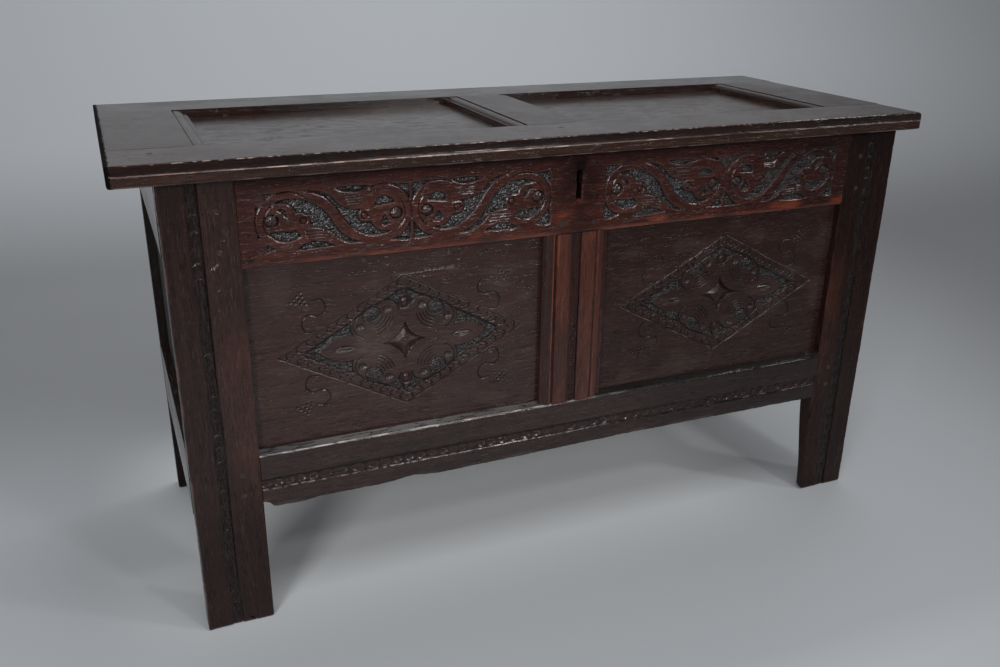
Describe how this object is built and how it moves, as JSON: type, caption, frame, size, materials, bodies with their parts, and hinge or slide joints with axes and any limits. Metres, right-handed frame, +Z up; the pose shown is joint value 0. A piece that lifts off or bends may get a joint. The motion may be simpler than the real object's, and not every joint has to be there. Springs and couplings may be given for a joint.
{
  "type": "coffer chest",
  "caption": "Joined oak coffer on stile legs: carved frieze rail, lozenge-carved front panels, moulded muntin, and a framed panelled lid on wire snipe hinges.",
  "frame": {"origin": "on the floor, under the middle of the whole chest, lid and hinge eyes included", "axes": "+X to the right along the front, +Y from the carved front to the back, +Z up"},
  "size_m": [1.2472, 0.5052, 0.699],
  "materials": {
    "oak_frame": "dark brown waxed oak, worn lighter on the arrises",
    "oak_frieze": "red-brown waxed oak, dark in the carved ground",
    "oak_panel": "greyish brown waxed oak",
    "oak_lid": "polished dark oak",
    "oak_back": "dry unpolished oak",
    "oak_floor": "bare dusty oak",
    "oak_peg": "dark oak end grain",
    "wrought_iron": "dark forged iron, lightly rusted"
  },
  "bodies": {
    "carcase": {"front_left_stile": "oak_frame", "front_right_stile": "oak_frame", "front_top_rail": "oak_frieze", "front_bottom_rail": "oak_frame", "front_muntin": "oak_frieze", "front_left_panel": "oak_panel", "front_right_panel": "oak_panel", "peg_top_rail_left_upper": "oak_peg", "peg_top_rail_left_lower": "oak_peg", "peg_bottom_rail_left_upper": "oak_peg", "peg_bottom_rail_left_lower": "oak_peg", "peg_top_rail_right_upper": "oak_peg", "peg_top_rail_right_lower": "oak_peg", "peg_bottom_rail_right_upper": "oak_peg", "peg_bottom_rail_right_lower": "oak_peg", "peg_muntin_top_left": "oak_peg", "peg_muntin_top_right": "oak_peg", "peg_muntin_bottom_left": "oak_peg", "peg_muntin_bottom_right": "oak_peg", "back_left_stile": "oak_back", "back_right_stile": "oak_back", "back_top_rail": "oak_back", "back_bottom_rail": "oak_back", "back_muntin": "oak_back", "back_left_panel": "oak_back", "back_right_panel": "oak_back", "left_end_top_rail": "oak_frame", "left_end_bottom_rail": "oak_frame", "left_end_panel": "oak_panel", "right_end_top_rail": "oak_frame", "right_end_bottom_rail": "oak_frame", "right_end_panel": "oak_panel", "floor_board_1": "oak_floor", "floor_board_2": "oak_floor", "floor_board_3": "oak_floor", "floor_board_4": "oak_floor", "floor_board_5": "oak_floor", "hinge_carcase_eye_left": "wrought_iron", "hinge_carcase_eye_right": "wrought_iron", "lock_case": "wrought_iron"},
    "lid": {"lid_front_rail": "oak_lid", "lid_back_rail": "oak_lid", "lid_left_stile": "oak_lid", "lid_muntin": "oak_lid", "lid_right_stile": "oak_lid", "lid_left_panel": "oak_lid", "lid_right_panel": "oak_lid", "peg_lid_left_stile_front": "oak_peg", "peg_lid_left_stile_back": "oak_peg", "peg_lid_muntin_front": "oak_peg", "peg_lid_muntin_back": "oak_peg", "peg_lid_right_stile_front": "oak_peg", "peg_lid_right_stile_back": "oak_peg", "hinge_lid_eye_left": "wrought_iron", "hinge_lid_eye_right": "wrought_iron", "lid_staple": "wrought_iron"},
    "bolt": {"lock_bolt": "wrought_iron"}
  },
  "joints": [
    {"name": "lid_hinge", "type": "hinge", "parent": "carcase", "child": "lid", "pos_m": [0, 0.24595, 0.6715], "axis": [-1, 0, 0], "range_deg": [0, 100]},
    {"name": "bolt_slide", "type": "slide", "parent": "carcase", "child": "bolt", "axis": [-1, 0, 0], "range_m": [0, 0.024]}
  ]
}
